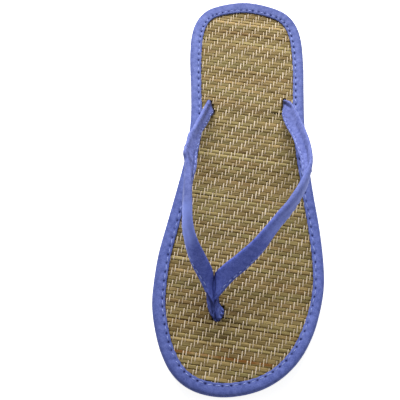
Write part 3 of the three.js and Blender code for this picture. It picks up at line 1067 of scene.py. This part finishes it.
def make_tape():
    steps = (len(HOLES) - 1) * STEPS_PER_STITCH
    place = np.arange(steps) / STEPS_PER_STITCH
    distance = np.interp(place, np.arange(len(HOLES)), HOLES)
    phase = np.mod(place, 1.0)
    to_hole = np.minimum(phase, 1 - phase) * np.diff(HOLES).repeat(STEPS_PER_STITCH)
    hole_shade = np.clip(HOLE_SHADE + smooth_noise(distance, *HOLE_SHADE_WAVE), *HOLE_SHADE_RANGE)
    edge_wave = smooth_noise(distance, *TAPE_EDGE_WAVE)
    edge_wave *= window(0, EDGE.length, distance, TAPE_EDGE_EASE)
    scallop = edge_wave + SCALLOP * np.cos(2 * math.pi * phase)
    swell = np.cos(2 * math.pi * (phase - 0.5))
    shift = tape_shift(distance)
    edge = EDGE.at(distance)[0]
    # Painted shade in soft spots on the tape
    shade_spots = spots_at(TAPE_SHADE_SPOTS, *edge.T)
    # A painted sheen, paler and greyer towards the heel
    painted_sheen = TAPE_SHEEN * smooth_step(*TAPE_SHEEN_SPAN, edge[:, 1])
    rows, shade_rows = [], []
    for inset, height in tape_profile():
        # Painted shade from the soft spots and along the outer rim
        dark = shade_spots + TAPE_RIM_SHADE * smooth_step(*TAPE_RIM_SHADE_SPAN, inset)
        if height > NOSE_HEIGHT:
            from_seam = inset - SEAM_INSET
            # Painted shade in the needle holes' pits
            dark = dark + hole_shade * spot(to_hole, from_seam, HOLE_REACH)
            height = height - PULL * spot(to_hole, from_seam, PULL_REACH)
            height = height + PILLOW * bell(from_seam + PILLOW_FROM_SEAM, PILLOW_ACROSS) * swell
            moved = smooth_step(*TAPE_SHIFT_SPAN, inset) * shift
            inset = inset + moved - smooth_step(*SCALLOP_SPAN, inset) * scallop
        rows.append(EDGE.points(distance, inset, height))
        shade_rows.append(np.clip(dark, 0, 1))
    grid = np.stack(rows)
    faces = grid_faces(len(rows), steps, closed_rows=True, closed_columns=True)
    values = {"painted_shade": np.concatenate(shade_rows), "painted_sheen": np.tile(painted_sheen, len(rows))}
    tape = make_piece("edge_tape", grid.reshape(-1, 3), faces, TAPE, values)
    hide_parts("edge_binding")


def thread_tube(path, out, radius, sides=6):
    """Rings of a thread along path, with out pointing off the cloth."""
    ahead = unit(np.gradient(path, axis=0))
    side = unit(np.cross(ahead, out))
    up = np.cross(side, ahead)
    turn = np.linspace(0, 2 * math.pi, sides, endpoint=False)
    off = np.cos(turn)[:, None] * side[:, None] + np.sin(turn)[:, None] * up[:, None]
    return path[:, None] + radius[:, None, None] * off


STITCH_ALONG = np.linspace(-0.5, 0.5, 7)  # places along a stitch, from its middle
STITCH_ARCH = np.sqrt(1 - (2 * STITCH_ALONG) ** 2)
STITCH_TAPER = 0.55 + 0.45 * STITCH_ARCH  # of the thread's radius towards a stitch's ends


def make_tape_stitches():
    stitches = Joined()
    out = np.tile([0.0, 0.0, 1.0], (len(STITCH_ALONG), 1))
    for start, end in zip(HOLES, HOLES[1:]):
        slant = RNG.normal(*STITCH_SLANT_SPREAD)
        length = (end - start) * STITCH_SHARE * RNG.uniform(*STITCH_LENGTHS)
        distance = (start + end) / 2 + RNG.normal(0, STITCH_OFF[0]) + STITCH_ALONG * length
        height = TAPE_TOP - THREAD_SINK + THREAD_RISE * STITCH_ARCH + RNG.normal(*STITCH_HEIGHT_SPREAD)
        seam = SEAM_INSET + tape_shift(distance) + RNG.normal(0, STITCH_OFF[1])
        path = EDGE.points(distance, seam + slant * STITCH_ALONG * 2, height)
        stitches.add_tube(thread_tube(path, out, THREAD_RADIUS * STITCH_TAPER))
    stitches.piece("tape_stitches", THREAD, "tape")


# Straps

class Strap:
    """A strap's middle line with its rearward and outward directions, its widths and its creases."""

    def __init__(self, stations, side, shape, creases):
        rows = np.array(stations, float)
        self.middle = curve_through(rows[:, :3], STRAP_STEPS)
        self.middle[:, 2] += MAT_TOP
        ahead = unit(np.gradient(self.middle, axis=0))
        self.rear = unit(curve_through(rows[:, 3:6], STRAP_STEPS))
        self.out = unit(np.cross(self.rear, ahead)) * side
        self.station = np.linspace(0, len(rows) - 1, len(self.middle))
        self.cup = np.interp(self.station, np.arange(len(rows)), rows[:, 6])
        self.along = lengths_along(self.middle)
        self.thickness, front, back = eased(shape, self.station)
        self.front_half = STRAP_WIDTH / 2 + front
        self.back_half = STRAP_WIDTH / 2 + back
        self.creases = creases
        self.wave = smooth_noise(self.along, *STRAP_BOW_WAVE)
        self.twist = smooth_noise(self.along, *STRAP_TWIST_WAVE)
        self.seam = STRAP_SEAM / self.front_half - 1  # as a share of the half width

    def relief(self, across):
        """How far the creases bend the cloth towards its front face, and the shade painted along them
        (below zero, painted light), at places across.
        """
        total, dark = np.zeros((2, len(self.along)))
        for face, from_station, start, to_station, end, width, height, shade in self.creases:
            first, last = np.interp((from_station, to_station), self.station, self.along)
            run, rise = last - first, end - start
            ahead, aside = self.along - first, across - start
            share = np.clip((ahead * run + aside * rise) / (run**2 + rise**2), 0, 1)
            away = np.hypot(ahead - share * run, aside - share * rise)
            total += face * height * bell(away, width)
            # Painted shade along the crease; below zero, painted light
            dark += shade * bell(away, width / 2)
        return total, dark

    def surface(self, share, face):
        """Points on a face at a share of the half width, from -1 at the front edge to 1 at the rear."""
        share = np.broadcast_to(share, self.along.shape)
        across = np.where(share < 0, share * self.front_half, share * self.back_half)
        bow = self.cup * (1 - share**2) + self.wave + self.twist * share
        front_round = STRAP_ROUNDNESS / np.maximum(self.thickness, 1.0) ** 2
        roundness = np.where(share > 0, STRAP_ROUNDNESS, front_round)
        padding = STRAP_THICK / 2 * self.thickness * (1 - np.abs(share) ** roundness) ** 0.5
        pucker = SEAM_GROOVE + SEAM_PUCKER * np.cos(2 * math.pi * self.along / STRAP_PITCH)
        groove = pucker * bell((share - self.seam) * self.front_half, SEAM_GROOVE_ACROSS)
        relief, shade = self.relief(across)
        out = bow + relief + face * np.maximum(padding - groove, 0.0)
        return self.middle + self.rear * across[:, None] + self.out * out[:, None], shade


def make_strap(name, strap):
    front = np.sin(np.linspace(-math.pi / 2, math.pi / 2, STRAP_COLUMNS))
    back = front[-2:0:-1]
    columns = [strap.surface(share, FRONT) for share in front]
    columns += [strap.surface(share, BACK) for share in back]
    grid, light_and_shade = (np.stack(column, axis=1) for column in zip(*columns))
    faces = tube_faces(*grid.shape[:2])
    shares = np.concatenate([front, back])
    from_seam = (shares - strap.seam[:, None]) * strap.front_half[:, None]
    phase = np.mod(strap.along / STRAP_PITCH, 1.0)
    to_hole = np.minimum(phase, 1 - phase) * STRAP_PITCH
    # Painted shade in the pits of the needle holes
    hole_shade = np.clip(STRAP_HOLE_SHADE + smooth_noise(strap.along, STRAP_PITCH, STRAP_HOLE_CHANGE), 0, 1)
    painted_shade = hole_shade[:, None] * spot(to_hole[:, None], from_seam, STRAP_HOLE_REACH)
    # Painted shade along the creases, and painted light where their shade is below zero
    values = {
        "painted_shade": np.clip(painted_shade + light_and_shade, 0, 1).ravel(),
        "painted_light": np.clip(-light_and_shade, 0, 1).ravel(),
        # A painted sheen on the straps' rear halves
        "painted_sheen": np.repeat(smooth_step(*STRAP_SHEEN_SPAN, strap.station), grid.shape[1]),
    }
    piece = make_piece(name, grid.reshape(-1, 3), faces, STRAP, values)
    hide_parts("thong_upper")


def make_strap_stitches(straps):
    stitches = Joined()
    for strap in straps:
        first = int(np.interp(STRAP_SEAM_FROM, strap.station, strap.along) / STRAP_PITCH)
        for face in (FRONT, BACK):
            for stitch in range(first, int(strap.along[-1] / STRAP_PITCH)):
                length = STITCH_SHARE * RNG.uniform(*STRAP_STITCH_LENGTHS)
                middle = stitch + 0.5 + RNG.normal(0, STRAP_STITCH_OFF[0])
                distance = (middle + STITCH_ALONG * length) * STRAP_PITCH
                seam = strap.surface(strap.seam + RNG.normal(0, STRAP_STITCH_OFF[1]), face)[0]
                path = columns_at(distance, strap.along, seam)
                out = columns_at(distance, strap.along, strap.out) * face
                rise = RNG.uniform(*STRAP_THREAD_RISE)
                if path[:, 2].min() < MAT_TOP + STRAP_STITCH_CLEAR:
                    continue
                path = path + out * (rise * STITCH_ARCH - STRAP_THREAD_SINK)[:, None]
                stitches.add_tube(thread_tube(path, out, STRAP_THREAD_RADIUS[face] * STITCH_TAPER))
    stitches.piece("strap_stitches", THREAD, "strap")


# Floor, light and camera

def make_floor():
    mesh = bpy.data.meshes.new("floor")
    corners = [(x * FLOOR_HALF, y * FLOOR_HALF, 0) for x, y in ((-1, -1), (1, -1), (1, 1), (-1, 1))]
    mesh.from_pydata(corners, [], [(0, 1, 2, 3)])
    mesh.materials.append(floor_material())
    floor = add_to_scene("floor", mesh)


def make_light():
    world = bpy.data.worlds.new("studio")
    world.use_nodes = True
    background = world.node_tree.nodes["Background"]
    background.inputs["Color"].default_value = (1, 1, 1, 1)
    background.inputs["Strength"].default_value = 0.3
    bpy.context.scene.world = world
    light = bpy.data.lights.new("key", "AREA")
    light.shape = "DISK"
    light.size = 0.75
    light.energy = 11.6
    lamp = add_to_scene("key", light)
    lamp.location = KEY_PLACE
    lamp.rotation_mode = "QUATERNION"
    lamp.rotation_quaternion = (Vector(KEY_AIM) - Vector(KEY_PLACE)).to_track_quat("-Z", "Y")


def make_camera():
    back = Vector((
        math.sin(VIEW_AZIMUTH) * math.cos(VIEW_ELEVATION),
        -math.cos(VIEW_AZIMUTH) * math.cos(VIEW_ELEVATION),
        math.sin(VIEW_ELEVATION),
    ))
    right = Vector((math.cos(VIEW_AZIMUTH), math.sin(VIEW_AZIMUTH), 0))
    up = back.cross(right)
    data = bpy.data.cameras.new("camera")
    data.lens = VIEW_LENS
    data.sensor_width = 36
    data.clip_start = 0.01
    data.clip_end = 20
    camera = add_to_scene("camera", data)
    place = (Vector(VIEW_TARGET) + back * VIEW_DISTANCE) * MM
    camera.matrix_world = Matrix.Translation(place) @ Matrix((right, up, back)).transposed().to_4x4()
    bpy.context.scene.camera = camera


make_sole()
make_board()
make_wefts()
make_warps()
make_tape()
make_tape_stitches()
OUTER_BAND = Strap(OUTER_STRAP, OUTER, OUTER_SHAPE, OUTER_CREASES)
INNER_BAND = Strap(INNER_STRAP, INNER, INNER_SHAPE, INNER_CREASES)
make_strap("strap_outer", OUTER_BAND)
make_strap("strap_inner", INNER_BAND)
make_strap_stitches((OUTER_BAND, INNER_BAND))
make_floor()
make_light()
make_camera()
bpy.context.scene.view_settings.view_transform = "Standard"
